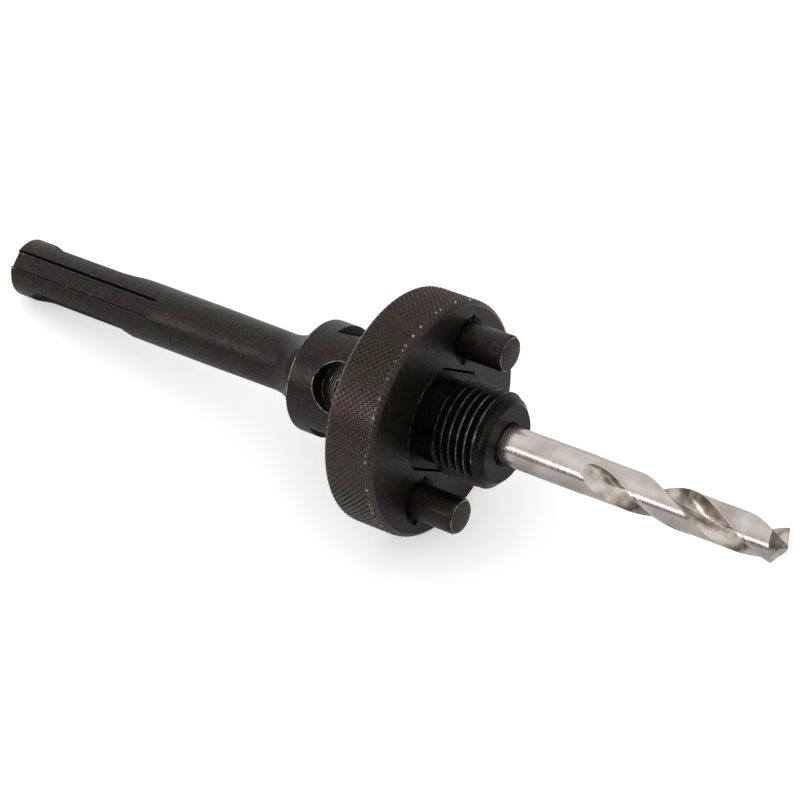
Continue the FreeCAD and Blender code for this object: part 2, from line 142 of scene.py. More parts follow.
def add_node(tree: Tree, kind: str, inputs: Optional[dict] = None, **settings: object) -> bpy.types.Node:
    """Add a node with its settings, and set or link its inputs.

    Args:
        tree: The node tree.
        kind: The node's type name, without its ShaderNode.
        inputs: Input name or number to a constant, or to the output socket that feeds it.
        **settings: The node's own properties.

    Returns:
        The new node.
    """
    node = tree.nodes.new(f"ShaderNode{kind}")
    for name, setting in settings.items():
        setattr(node, name, setting)
    for name, value in (inputs or {}).items():
        if isinstance(value, Socket):
            tree.links.new(value, node.inputs[name])
        else:
            node.inputs[name].default_value = value
    return node


def add_ramp(tree: Tree, source: Socket, stops: Sequence[tuple[float, str]]) -> Socket:
    """Add a colour ramp.

    Args:
        tree: The node tree.
        source: What drives the ramp.
        stops: Position and hex colour of each stop, in order.

    Returns:
        The ramp's colour socket.
    """
    ramp = add_node(tree, "ValToRGB", {"Fac": source})
    elements = ramp.color_ramp.elements
    while len(elements) < len(stops):
        elements.new(0.5)
    for element, (position, colour) in zip(elements, stops):
        element.position = position
        element.color = linear(colour)
    return ramp.outputs["Color"]


def add_noise(
    tree: Tree, place: Socket, grain_mm: float, detail: float = 3.0, roughness: float = 0.5
) -> Socket:
    """Add a noise pattern of a real size.

    Args:
        tree: The node tree.
        place: The coordinates that it follows, in metres.
        grain_mm: The size of its coarsest spots.
        detail: How many finer layers it has.
        roughness: How strong the finer layers are.

    Returns:
        The pattern's value socket.
    """
    inputs = {"Vector": place, "Scale": 1000 / grain_mm, "Detail": detail, "Roughness": roughness}
    return add_node(tree, "TexNoise", inputs).outputs["Fac"]


def add_range(tree: Tree, source: Socket, span: Pair, target: Pair = (0.0, 1.0)) -> Socket:
    """Add a node that maps one range of values to another, and return its socket."""
    inputs = {"Value": source, "From Min": span[0], "From Max": span[1]}
    inputs |= {"To Min": target[0], "To Max": target[1]}
    return add_node(tree, "MapRange", inputs).outputs["Result"]


def add_rings(tree: Tree, place: Socket, frame: ToolFrame, stretch: float) -> Socket:
    """Add coordinates that a pattern follows round the tool.

    Args:
        tree: The node tree.
        place: The piece's own coordinates.
        frame: Where the tool lies.
        stretch: Scale across the axis, small where marks run long round it.

    Returns:
        The coordinates' socket.
    """
    inputs = {"Vector": place, "Rotation": frame.matrix.to_euler()}
    along = add_node(tree, "Mapping", inputs, vector_type="TEXTURE").outputs[0]
    return add_node(tree, "Mapping", {"Vector": along, "Scale": (1.0, stretch, stretch)}).outputs[0]


def add_piece(name: str, data: bpy.types.ID) -> Piece:
    """Link a new object that shows some data, and return it."""
    piece = bpy.data.objects.new(name, data)
    bpy.context.scene.collection.objects.link(piece)
    return piece


def aim(piece: Piece, place: Vector, forward: Vector) -> None:
    """Put a camera or a lamp at a place in metres, and turn it to look forward."""
    piece.location = place
    piece.rotation_mode = "QUATERNION"
    piece.rotation_quaternion = forward.to_track_quat("-Z", "Y")


def new_material(name: str) -> tuple[Material, Tree]:
    """Start a material with an empty node tree, and return both."""
    material = bpy.data.materials.new(name)
    material.use_nodes = True
    material.node_tree.nodes.clear()
    return material, material.node_tree


@dataclass
class Stock:
    """A solid in the making, on the tool's axis and in millimetres."""

    bm: bmesh.types.BMesh = field(default_factory=bmesh.new)

    @classmethod
    def turned(cls, outline: "Outline", steps: int) -> "Stock":
        """Spin half an outline a full turn about the tool's axis.

        Args:
            outline: The half outline, whose ends lie on the axis.
            steps: Facets round the axis.

        Returns:
            The closed solid.
        """
        bm = outline.bm
        geom = bm.verts[:] + bm.edges[:]
        bmesh.ops.spin(bm, geom=geom, axis=TOOL_AXIS, angle=math.tau, steps=steps, use_merge=True)
        return cls(bm).clean()

    @classmethod
    def block(cls, low: Sequence[float], high: Sequence[float]) -> "Stock":
        """A box between two corners."""
        stock = cls()
        bmesh.ops.create_cube(stock.bm, size=1)
        low, high = Vector(low), Vector(high)
        return stock.move(Matrix.Translation((low + high) / 2) @ Matrix.Diagonal((high - low).to_4d()))

    @classmethod
    def rod(cls, radius: float, near: float, far: float, steps: int = FACETS) -> "Stock":
        """A cylinder towards the set screw's side, -Y, between two distances from the tool's axis."""
        stock = cls()
        size = {"radius1": radius, "radius2": radius, "depth": far - near}
        bmesh.ops.create_cone(stock.bm, cap_ends=True, segments=steps, **size)
        middle = Matrix.Translation((0, -(near + far) / 2, 0))
        return stock.move(middle @ Matrix.Rotation(math.pi / 2, 4, "X"))

    def move(self, matrix: Matrix) -> "Stock":
        """Turn, size or shift the whole solid, and return it."""
        bmesh.ops.transform(self.bm, matrix=matrix, verts=self.bm.verts)
        return self

    def shift(self, x: float = 0, y: float = 0, z: float = 0) -> "Stock":
        """Shift the whole solid, and return it."""
        return self.move(Matrix.Translation((x, y, z)))

    def clean(self, distance: float = MERGE) -> "Stock":
        """Merge doubles, drop flattened faces and turn every face outwards."""
        bmesh.ops.remove_doubles(self.bm, verts=self.bm.verts, dist=distance)
        bmesh.ops.dissolve_degenerate(self.bm, edges=self.bm.edges, dist=distance)
        bmesh.ops.recalc_face_normals(self.bm, faces=self.bm.faces)
        return self

    def reshape(self, rule: Callable[[Vector], Vector]) -> "Stock":
        """Move every corner by a rule that takes and gives a point."""
        for vert in self.bm.verts:
            vert.co = rule(vert.co)
        return self

    def _combine(self, others: Iterable["Stock"], operation: str) -> "Stock":
        """Run boolean modifiers with the other solids and keep their result."""
        scratch = [stock.as_piece("scratch") for stock in (self, *others)]
        body = scratch[0]
        for tool in scratch[1:]:
            modifier = body.modifiers.new("cut", "BOOLEAN")
            modifier.operation = operation
            modifier.solver = "MANIFOLD"
            modifier.object = tool
        bpy.context.view_layer.update()
        mesh = bpy.data.meshes.new_from_object(body.evaluated_get(bpy.context.evaluated_depsgraph_get()))
        self.bm = bmesh.new()
        self.bm.from_mesh(mesh)
        bpy.data.meshes.remove(mesh)
        for item in scratch:
            bpy.data.meshes.remove(item.data)
        return self

    def cut(self, *cutters: "Stock") -> "Stock":
        """Take other solids away from this one."""
        return self._combine(cutters, "DIFFERENCE")

    def within(self, envelope: "Stock") -> "Stock":
        """Keep what lies inside another solid."""
        return self._combine((envelope,), "INTERSECT")

    def as_piece(self, name: str) -> Piece:
        """Use the solid up as the mesh of a new object, and return that."""
        mesh = bpy.data.meshes.new(name)
        self.bm.to_mesh(mesh)
        self.bm.free()
        return add_piece(name, mesh)

    def bevel(self, edges: Sequence[bmesh.types.BMEdge], width: float, steps: int, number: int) -> "Stock":
        """Round edges.

        Args:
            edges: The edges to round.
            width: The bevel's width in millimetres.
            steps: How many faces it has across.
            number: Its finish's number, or -1 for that of the faces beside it.

        Returns:
            This solid.
        """
        bmesh.ops.bevel(
            self.bm, geom=edges, affect="EDGES", offset=width, offset_type="OFFSET", segments=steps,
            profile=0.5, clamp_overlap=False, loop_slide=False, material=number,
        )
        return self

    def break_edges(
        self, width: float, worn: int = 1, angle: float = 35,
        chosen: Callable[[Vector], bool] = lambda middle: True,
    ) -> "Stock":
        """Round sharp edges by a bevel of its own finish.

        Args:
            width: The bevel's width in millimetres.
            worn: The number of the bevel's finish.
            angle: Sharper edges than this, in degrees, are rounded.
            chosen: Says of an edge's middle whether to round it.

        Returns:
            This solid.
        """
        limit = math.radians(angle)
        sharp = [edge for edge in self.bm.edges if edge.is_manifold and edge.calc_face_angle(0) > limit]
        edges = [edge for edge in sharp if chosen((edge.verts[0].co + edge.verts[1].co) / 2)]
        return self.bevel(edges, width, 2, worn).clean(width / 50)

    def dress(self, rule: Callable[[Vector], Optional[int]]) -> "Stock":
        """Number faces by finish.

        Args:
            rule: Takes a face's middle and gives its number, or None to leave it as it is.

        Returns:
            This solid.
        """
        for face in self.bm.faces:
            number = rule(face.calc_center_median())
            if number is not None:
                face.material_index = number
        return self


@dataclass
class Outline:
    """Half a turned outline in the tool's XZ plane, drawn point by point."""

    bm: bmesh.types.BMesh = field(default_factory=bmesh.new)
    last: Optional[bmesh.types.BMVert] = None

    def to(self, *points: Pair) -> "Outline":
        """Draw on to points given as station and radius."""
        for x, radius in points:
            vert = self.bm.verts.new((x, 0, radius))
            if self.last:
                self.bm.edges.new((self.last, vert))
            self.last = vert
        return self

    def arc(self, centre: Pair, degrees: float, steps: int) -> "Outline":
        """Draw on along an arc.

        Args:
            centre: Station and radius of the arc's centre.
            degrees: How far the arc runs, positive from +Z towards +X.
            steps: Pieces of the arc.

        Returns:
            This outline.
        """
        made = bmesh.ops.spin(
            self.bm, geom=[self.last], cent=(centre[0], 0, centre[1]), axis=(0, 1, 0),
            angle=math.radians(degrees), steps=steps,
        )
        self.last = next(item for item in made["geom_last"] if isinstance(item, bmesh.types.BMVert))
        return self


def station_and_radius(point: Vector) -> Pair:
    """A point's place along the tool's axis and its distance from it."""
    return point.x, math.hypot(point.y, point.z)


def with_radius(point: Vector, radius: float) -> Vector:
    """The same point, moved in or out to a radius about the tool's axis."""
    old = math.hypot(point.y, point.z)
    if old < MERGE:
        return point.copy()
    return Vector((point.x, point.y * radius / old, point.z * radius / old))


@dataclass(frozen=True)
class Steel:
    """A steel surface, whose patterns feed one shader."""

    name: str

    def inputs(self, tree: Tree, place: Socket, frame: ToolFrame) -> dict[str, object]:
        """Build the surface's patterns.

        Args:
            tree: The material's node tree.
            place: The piece's own coordinates, in metres.
            frame: Where the tool lies, which the marks of a machine follow.

        Returns:
            The shader's inputs.
        """
        raise NotImplementedError

    def make(self, frame: ToolFrame) -> Material:
        """Build the material for a tool that lies in a frame, and return it."""
        material, tree = new_material(self.name)
        place = add_node(tree, "TexCoord").outputs["Object"]
        surface = add_node(tree, "BsdfPrincipled", self.inputs(tree, place, frame))
        add_node(tree, "OutputMaterial", {"Surface": surface.outputs[0]})
        return material


@dataclass(frozen=True)
class TurnedBlackSteel(Steel):
    """Alloy steel, turned and hot-blacked: near black, with a satin sheen that faint tool marks break up."""

    name: str = "turned_black_oxide_steel"
    dark: str = "#0e0b0c"
    warm: str = "#15120d"
    plum: str = "#150e13"
    olive_sheen: str = "#fff7df"
    plum_sheen: str = "#ffe6e4"
    sheen: float = 0.3
    roughness: float = 0.34
    tool_mark_mm: float = 0.35
    grain_mm: float = 0.5
    patch_mm: float = 9.0
    relief: float = 0.8
    relief_mm: float = 0.04

    def inputs(self, tree: Tree, place: Socket, frame: ToolFrame) -> dict[str, object]:
        """Olive and plum patches, a mottled sheen, and rings left by the lathe."""
        patch = add_noise(tree, place, self.patch_mm, 4.0, 0.6)
        grain = add_noise(tree, place, self.grain_mm, 4.0)
        marks = add_noise(tree, add_rings(tree, place, frame, 0.02), self.tool_mark_mm)
        height = add_node(tree, "Math", {0: marks, 1: grain}, operation="ADD").outputs[0]
        relief = {"Height": height, "Strength": self.relief, "Distance": self.relief_mm * MM}
        mottled = (self.sheen * 0.74, self.sheen * 1.42)
        return {
            "Base Color": add_ramp(tree, patch, [(0.3, self.dark), (0.5, self.warm), (0.68, self.plum)]),
            "Metallic": 0.0,
            "Roughness": add_range(tree, patch, (0.3, 0.7), (self.roughness - 0.06, self.roughness + 0.1)),
            "Specular IOR Level": add_range(tree, grain, (0.35, 0.65), mottled),
            "Specular Tint": add_ramp(tree, patch, [(0.42, self.olive_sheen), (0.58, self.plum_sheen)]),
            "Normal": add_node(tree, "Bump", relief).outputs[0],
        }


@dataclass(frozen=True)
class WornBlackSteel(Steel):
    """The same blacking rubbed through along an edge, so that bare steel glints in short stretches."""

    name: str = "edge_worn_black_oxide_steel"
    black: str = "#12100f"
    bare: str = "#b9b3aa"
    share: float = 0.5
    glint_mm: float = 1.6

    def inputs(self, tree: Tree, place: Socket, frame: ToolFrame) -> dict[str, object]:
        """Bare steel where a noise passes a limit, and blacking elsewhere."""
        wear = add_noise(tree, place, self.glint_mm, 5.0, 0.7)
        bare = add_range(tree, wear, (0.62 - self.share / 3, 0.72 - self.share / 3))
        colour = add_ramp(tree, bare, [(0.0, self.black), (1.0, self.bare)])
        return {"Base Color": colour, "Metallic": bare, "Roughness": 0.3}


@dataclass(frozen=True)
class GroundSteel(Steel):
    """Bright high-speed steel, ground round: clear reflections, drawn out by fine grinding lines round it."""

    name: str = "ground_high_speed_steel"
    light: str = "#c6beb9"
    shade: str = "#a99f98"
    roughness: float = 0.2
    line_mm: float = 0.18
    stain_mm: float = 5.0
    relief: float = 0.09
    relief_mm: float = 0.01

    def inputs(self, tree: Tree, place: Socket, frame: ToolFrame) -> dict[str, object]:
        """Soft stains, and grinding lines in roughness and relief."""
        lines = add_noise(tree, add_rings(tree, place, frame, 0.03), self.line_mm)
        stain = add_noise(tree, place, self.stain_mm, 5.0)
        relief = {"Height": lines, "Strength": self.relief, "Distance": self.relief_mm * MM}
        return {
            "Base Color": add_ramp(tree, stain, [(0.35, self.shade), (0.6, self.light)]),
            "Metallic": 1.0,
            "Roughness": add_range(tree, lines, (0.3, 0.7), (self.roughness - 0.04, self.roughness + 0.1)),
            "Normal": add_node(tree, "Bump", relief).outputs[0],
        }


class Look(Enum):
    """The finishes that the pieces wear."""

    BLACK = TurnedBlackSteel()
    # Painted shade: a darker, less glossy copy of the black finish, for the nose and the body's front
    # shoulder face.
    OILED = TurnedBlackSteel(
        "painted_shade_black_oxide_steel", "#090708", "#0c0a09", "#0d090b", sheen=0.17, roughness=0.27
    )
    KNURLED = TurnedBlackSteel(
        "knurled_black_oxide_steel", "#17130f", "#211b13", "#25151d", "#fff0d8", "#ffd6dc", 0.58, 0.3,
        patch_mm=3.5,
    )
    # Painted shade: the darkest, least glossy copy of the black finish, for slot walls, countersinks and
    # stake marks where shade falls.
    DULL = TurnedBlackSteel(
        "painted_deep_shade_black_oxide_steel", "#080607", "#0a0808", "#0a0709", sheen=0.12, roughness=0.5
    )
    WORN = WornBlackSteel()
    GLINTING = WornBlackSteel("glinting_black_oxide_steel", share=0.35, glint_mm=0.9)
    CREST = WornBlackSteel("thread_crest_black_oxide_steel", bare="#77716f", share=0.45, glint_mm=1.4)
    SPECKED = WornBlackSteel("specked_black_oxide_steel", share=0.08, glint_mm=1.2)
    RUBBED = WornBlackSteel("rubbed_black_oxide_steel", bare="#7d766e", share=1.2)
    BRIGHT = GroundSteel()
    MILLED = GroundSteel("milled_high_speed_steel", "#c8beb4", "#8c8278", 0.24, 0.3, 2.2, 0.2)


@dataclass
class Bench:
    """Where finished solids become pieces of the scene."""

    frame: ToolFrame
    materials: dict[Look, Material]

    @classmethod
    def at(cls, frame: ToolFrame) -> "Bench":
        """A bench for a tool that lies in a frame, with every finish at hand."""
        return cls(frame, {look: look.value.make(frame) for look in Look})

    def lay(
        self, stock: Stock, name: str, body: Body, looks: Sequence[Look],
        stands_for: Sequence[str] = (), angle: float = 30,
    ) -> None:
        """Lay a solid in the row frame as a piece of the scene.

        Args:
            stock: The solid, in the tool's own millimetres.
            name: The piece's name.
            body: The body that it rides on.
            looks: Its finishes, in the order of its faces' numbers.
            stands_for: CAD nodes that it is shown for.
            angle: Edges sharper than this, in degrees, stay sharp.
        """
        stock.move(self.frame.matrix)
        for face in stock.bm.faces:
            face.smooth = True
        piece = stock.as_piece(name)
        piece.data.set_sharp_from_angle(angle=math.radians(angle))
        for look in looks:
            piece.data.materials.append(self.materials[look])
        even = piece.modifiers.new("even_shading", "WEIGHTED_NORMAL")
        even.keep_sharp = True
        even.weight = 100
        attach(piece, body.value)
        if stands_for:
            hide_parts(*stands_for)
        LOG.info("%s: %d triangles", name, sum(len(face.vertices) - 2 for face in piece.data.polygons))


class Part:
    """A part of the tool, which knows its own measures."""

    def build(self, bench: Bench) -> None:
        """Make the part's solids, dress them and lay them as pieces.

        Args:
            bench: Where solids become pieces.
        """
        raise NotImplementedError


@dataclass
class Arbor(Part):
    """The turned and milled bar, from its slotted shank to its threaded nose."""

    shank_radius: float = 5.0
    shank_end: float = 88.55
    shank_chamfer: float = 1.2
    slot_length: float = 32.5
    slot_half_width: float = 1.7
    slot_floor_half_width: float = 1.35
    slot_floor: float = 3.2
    slot_corner: float = 1.5
    slot_clocking: float = 14.0
    ball_radius: float = 3.5
    groove_floor: float = 3.0
    groove_rear: float = 80.85
    groove_front: float = 67.0
    groove_ramp: float = 8.0
    taper_start: float = 46.0
    neck_radius: float = 4.85
    flare_radius: float = 8.0
    body_radius: float = 9.4
    body_length: float = 24.4
    body_edge: float = 0.45
    flats_across: float = 15.9
    flats_length: float = 20.35
    bore_radius: float = 3.2
    bore_end: float = 22.2
    screw_station: float = 15.2
    counterbore_radius: float = 4.2
    counterbore_floor: float = 6.4
    screw_hole_radius: float = 2.95
    edge_wear: float = 0.1
    facets: int = 160

    def bar(self) -> Stock:
        """The bar as it leaves the lathe, up to the shoulder."""
        rise = self.neck_radius + self.flare_radius - self.body_radius + self.body_edge
        flare = math.acos(rise / self.flare_radius)
        flare_start = -self.body_length - self.flare_radius * math.sin(flare)
        chamfer_end = -self.shank_end + self.shank_chamfer
        outline = Outline().to((-self.shank_end, 0))
        outline.to((-self.shank_end, self.shank_radius - self.shank_chamfer))
        outline.to((chamfer_end, self.shank_radius), (-self.taper_start, self.shank_radius))
        outline.to((flare_start, self.neck_radius))
        outline.arc((flare_start, self.neck_radius + self.flare_radius), -math.degrees(flare), 16)
        outline.to((-self.body_length + self.body_edge, self.body_radius), (0, self.body_radius), (0, 0))
        return Stock.turned(outline, self.facets)

    def slot_cutter(self) -> Stock:
        """What mills a drive slot: a bar with leaning walls and rounded front corners, towards -Y."""
        rear = -self.shank_end - OVER
        front = -self.shank_end + self.slot_length
        outside = self.shank_radius + OVER
        edge = math.sqrt(self.shank_radius ** 2 - self.slot_half_width ** 2)
        lean = (self.slot_half_width - self.slot_floor_half_width) / (edge - self.slot_floor)
        half = self.slot_floor_half_width + lean * (outside - self.slot_floor)
        cutter = Stock.block((rear, -outside, -half), (front, -self.slot_floor, half))
        uprights = [
            edge for edge in cutter.bm.edges
            if all(v.co.x > front - MERGE for v in edge.verts)
            and abs(edge.verts[0].co.y - edge.verts[1].co.y) > MERGE
        ]
        cutter.bevel(uprights, self.slot_corner, 8, -1)
        return cutter.reshape(lambda p: Vector((p.x, p.y, p.z * (half - lean * (p.y + outside)) / half)))

    def groove_cutter(self) -> Stock:
        """What mills a ball groove: a ball's path that rises out of the shank at its front, towards +Z."""
        sweep = math.acos((self.groove_ramp - self.ball_radius) / self.groove_ramp)
        outline = Outline().to((-self.groove_rear - self.ball_radius, 0))
        outline.arc((-self.groove_rear, 0), 90, 16)
        outline.to((-self.groove_front, self.ball_radius))
        outline.arc((-self.groove_front, self.ball_radius - self.groove_ramp), math.degrees(sweep), 24)
        cutter = Stock.turned(outline, FACETS)
        return cutter.shift(z=self.groove_floor + self.ball_radius)

    def flat_cutters(self) -> list[Stock]:
        """What mills the body's two flats."""
        reach = self.body_radius + OVER
        spans = ((self.flats_across / 2, reach), (-reach, -self.flats_across / 2))
        return [Stock.block((-self.flats_length, -reach, low), (OVER, reach, high)) for low, high in spans]

    def bore_cutter(self) -> Stock:
        """What drills the pilot bore."""
        cone = self.bore_radius / math.tan(math.radians(PilotDrill.point_angle / 2))
        outline = Outline().to((-self.bore_end - cone, 0), (-self.bore_end, self.bore_radius))
        outline.to((Nose.length - Nose.mouth_chamfer, self.bore_radius))
        end = Nose.length + OVER
        outline.to((end, self.bore_radius + Nose.mouth_chamfer + OVER), (end, 0))
        return Stock.turned(outline, FACETS)

    def screw_cutters(self) -> list[Stock]:
        """What cuts the set screw's counterbore and hole."""
        outside = self.body_radius + OVER
        cutters = [
            Stock.rod(self.counterbore_radius, self.counterbore_floor, outside),
            Stock.rod(self.screw_hole_radius, 0, outside),
        ]
        return [cutter.shift(-self.screw_station) for cutter in cutters]

    def is_slot_wall(self, point: Vector) -> bool:
        """Whether a face's middle lies on a wall of a drive slot, at its sides or its front end."""
        x, y, z = Matrix.Rotation(math.radians(self.slot_clocking), 3, "X") @ point
        slack = self.edge_wear / 2
        above_floor = abs(y) > self.slot_floor + slack
        below_rim = math.hypot(y, z) < self.shank_radius - self.edge_wear - slack
        between = abs(z) < self.slot_half_width - slack
        behind = x < self.slot_length - self.shank_end + self.edge_wear
        return above_floor and below_rim and between and behind

    def build(self, bench: Bench) -> None:
        """Make the bar with all its cuts, and dress it."""
        bar = self.bar()
        cutters = self.flat_cutters()
        for half_turn in (0, math.pi):
            clocking = Matrix.Rotation(half_turn - math.radians(self.slot_clocking), 4, "X")
            cutters += [self.slot_cutter().move(clocking), self.groove_cutter().move(clocking)]
        bar.cut(*cutters, self.bore_cutter(), *self.screw_cutters())
        bar.clean(CUT_WELD)
        rubbing = self.flats_across / 2 - self.edge_wear
        neck = -self.body_length - OVER
        bar.break_edges(self.edge_wear, chosen=lambda p: p.x > neck and abs(p.z) < rubbing)
        bar.break_edges(self.edge_wear, worn=0, chosen=lambda p: p.x > neck and abs(p.z) > rubbing)
        bar.break_edges(self.edge_wear, worn=2, chosen=lambda p: p.x < neck)
        # Painted shade: the slot walls (3) get the darkest copy of the black finish, and the front shoulder
        # face (4) a darker one.
        bar.dress(lambda p: 4 if p.x > -SKIN else 3 if self.is_slot_wall(p) else None)
        looks = (Look.BLACK, Look.WORN, Look.SPECKED, Look.DULL, Look.OILED)
        bench.lay(bar, "arbor_bar", Body.ARBOR, looks, ("arbor",))


@dataclass
class Nose(Part):
    """The nose with its 5/8 inch thread, undercut behind and led in at the front."""

    length: float = 12.0
    mouth_chamfer: float = 0.45
    crest_radius: float = 7.81
    root_radius: float = 6.944
    pitch: float = 1.411
    crest_flat: float = 0.18
    root_flat: float = 0.24
    first_crest: float = 5.67
    relief_radius: float = 6.85
    relief_length: float = 2.2
    relief_ramp: float = 0.9
    lead_length: float = 1.5
    face_radius: float = 6.3
    overlap: float = 0.5
    crest_wear: float = 0.03

    def envelope(self, x: float) -> float:
        """How far out the nose may reach at a station: undercut, ramp, crests and lead."""
        ramp = (x - self.relief_length) / self.relief_ramp
        lead = (self.length - x) / self.lead_length
        rear = self.relief_radius + max(0.0, min(1.0, ramp)) * (self.crest_radius - self.relief_radius)
        front = self.face_radius + max(0.0, min(1.0, lead)) * (self.crest_radius - self.face_radius)
        return min(rear, front)

    def build(self, bench: Bench) -> None:
        """Sweep one pitch of the thread along the nose, trim it and dress it."""
        nose = Stock()
        turns = math.ceil(self.length / self.pitch) + 3
        flank = (self.pitch - self.crest_flat - self.root_flat) / 2
        start = self.first_crest - self.pitch * math.ceil(self.first_crest / self.pitch + 2)
        crest, root = self.crest_radius, self.root_radius
        middle = (crest + root) / 2
        rising = self.pitch - flank
        profile = [
            (0.0, crest), (self.crest_flat, crest),
            (self.crest_flat + flank / 2, middle), (self.crest_flat + flank, root),
            (rising, root), (rising + flank / 2, middle), (self.pitch, crest),
        ]
        verts = [nose.bm.verts.new((start + x, 0, radius)) for x, radius in profile]
        edges = [nose.bm.edges.new(pair) for pair in zip(verts, verts[1:])]
        bmesh.ops.spin(
            nose.bm, geom=verts + edges, axis=TOOL_AXIS,
            dvec=(self.pitch / FACETS, 0, 0), angle=math.tau * turns, steps=FACETS * turns,
        )
        bmesh.ops.remove_doubles(nose.bm, verts=nose.bm.verts, dist=SWEEP_WELD)
        for station, forward in ((-self.overlap, False), (self.length, True)):
            bmesh.ops.bisect_plane(
                nose.bm, geom=nose.bm.verts[:] + nose.bm.edges[:] + nose.bm.faces[:],
                plane_co=(station, 0, 0), plane_no=TOOL_AXIS, clear_outer=forward, clear_inner=not forward,
            )
        nose.reshape(lambda p: with_radius(p, min(math.hypot(p.y, p.z), self.envelope(p.x))))
        bmesh.ops.holes_fill(nose.bm, edges=[edge for edge in nose.bm.edges if edge.is_boundary])
        nose.clean(SWEEP_WELD)
        nose.cut(Arbor().bore_cutter())
        nose.clean(SWEEP_WELD)
        unworn = crest - self.crest_wear
        lead = self.length - self.lead_length
        nose.dress(lambda p: int(math.hypot(p.y, p.z) > unworn and p.x < lead))
        # The nose wears the darker copy of the black finish, painted shade; its worn crests keep their own
        # finish.
        bench.lay(nose, "arbor_nose", Body.ARBOR, (Look.OILED, Look.CREST), angle=25)


@dataclass
class DriveCollar(Part):
    """The sliding collar: a bevelled plate with a two-flat bore and a diamond-knurled rim."""

    rim_radius: float = 19.56
    knurl_depth: float = 0.4
    knurl_count: int = 118
    knurl_rows: int = 9
    knurl_steps: int = 4
    knurl_flat: float = 0.12
    thickness: float = 8.7
    front_bevel_width: float = 0.9
    front_bevel_length: float = 0.65
    rear_bevel: float = 0.35
    rim_key: float = 0.5
    clearance: float = 0.08
    flat_clearance: float = 0.38
    pin_seam: float = 0.02
    sink_width: float = 1.1
    sink_depth: float = 0.45
    stake_radius: float = 0.85
    stake_circle: float = 3.3
    stake_turn: float = 8.0
    stake_depth: float = 0.595
    stake_rise: float = 0.1
    edge_wear: float = 0.06
    glint_width: float = 0.5
    facets: int = 192

    def two_flat_cutter(self) -> Stock:
        """What cuts the bore that slides on the body's two flats."""
        reach = 2 * self.thickness
        radius = Arbor.body_radius + self.clearance
        flat = Arbor.flats_across / 2 + self.flat_clearance
        outline = Outline().to((-reach, 0), (-reach, radius), (reach, radius), (reach, 0))
        round_bore = Stock.turned(outline, 128)
        far, wide = reach + OVER, radius + OVER
        return round_bore.within(Stock.block((-far, -wide, -flat), (far, wide, flat)))

    def pin_cutter(self, side: int) -> Stock:
        """What drills and countersinks the collar for one pin, above (1) or below (-1) the axis."""
        rear = -self.thickness - OVER
        hole = DrivePin.neck_radius + self.pin_seam
        sink = DrivePin.neck_radius + self.sink_width
        outline = Outline().to((rear, 0), (rear, hole), (-self.sink_depth, hole))
        outline.to((0, sink), (OVER, sink), (OVER, 0))
        return Stock.turned(outline, FACETS).shift(z=side * DrivePin.circle / 2)

    def stake_cutters(self) -> list[Stock]:
        """What punches the four stake marks that lock each pin."""
        cutters = []
        for side, quarter in product((1, -1), range(4)):
            angle = math.radians(self.stake_turn + 90 * quarter)
            outline = Outline().to((-self.stake_depth, 0))
            outline.to((-self.stake_depth * 0.6, self.stake_radius * 0.7))
            outline.to((self.stake_rise, self.stake_radius), (self.stake_rise, 0))
            height = DrivePin.circle / 2 * side + self.stake_circle * math.cos(angle)
            cutters.append(Stock.turned(outline, 20).shift(y=-self.stake_circle * math.sin(angle), z=height))
        return cutters

    def build(self, bench: Bench) -> None:
        """Make the plate and the rim round it, and lay them."""
        self.build_plate(bench)
        self.build_rim(bench)

    def build_plate(self, bench: Bench) -> None:
        """Make the plate inside the rim, and dress it."""
        inside = self.rim_radius - self.front_bevel_width
        outline = Outline().to((-self.thickness, 0), (-self.thickness, inside), (0, inside), (0, 0))
        plate = Stock.turned(outline, self.facets)
        plate.cut(self.two_flat_cutter(), self.pin_cutter(1), self.pin_cutter(-1))
        plate.clean(CUT_WELD)
        bore_edges = inside - OVER
        plate.break_edges(self.edge_wear, worn=0, chosen=lambda p: math.hypot(p.y, p.z) < bore_edges)
        plate.cut(*self.stake_cutters())
        plate.clean(CUT_WELD)
        marked = self.stake_circle + self.stake_radius

        def is_sunk(middle: Vector) -> int:
            """The countersinks and stake marks, which take painted shade: the darkest copy of the black
            finish.
            """
            from_pin = math.hypot(middle.y, abs(middle.z) - DrivePin.circle / 2)
            return int(-self.stake_radius < middle.x < -SKIN and from_pin < marked)

        plate.dress(is_sunk)
        looks = (Look.BLACK, Look.DULL)
        bench.lay(plate, "collar_plate", Body.COLLAR, looks, ("drive_collar",))

    def build_rim(self, bench: Bench) -> None:
        """Make the knurled rim with its bevels, and dress it."""
        inside = self.rim_radius - self.front_bevel_width
        columns = self.knurl_steps * self.knurl_count
        rows = self.knurl_steps * self.knurl_rows
        key = self.rim_key
        knurl = Outline().to((key - self.thickness, inside - key), (-self.thickness, inside))
        knurl.to(*((self.thickness * (row / rows - 1), self.rim_radius) for row in range(rows + 1)))
        knurl.to((0, inside), (-key, inside - key))
        knurl.bm.verts.ensure_lookup_table()
        knurl.bm.edges.new((knurl.bm.verts[0], knurl.last))
        rim = Stock.turned(knurl, columns)

        def cut_knurl(point: Vector) -> Vector:
            """Crossed grooves, a quarter of their pitch per grid step, under the bevels at both edges."""
            x, radius = station_and_radius(point)
            if radius < self.rim_radius - TOUCH:
                return point
            u = math.atan2(-point.y, point.z) / math.tau * self.knurl_count
            v = (x + self.thickness) / self.thickness * self.knurl_rows
            depth = max(abs(2 * ((w % 1) - 0.5)) for w in (u + v, u - v))
            sunk = max(0.0, depth - self.knurl_flat) / (1 - self.knurl_flat)
            height = self.rim_radius - self.knurl_depth * sunk
            front = self.rim_radius - self.front_bevel_width * (1 + x / self.front_bevel_length)
            rear = self.rim_radius - self.rear_bevel + (x + self.thickness)
            return with_radius(point, min(height, front, rear))

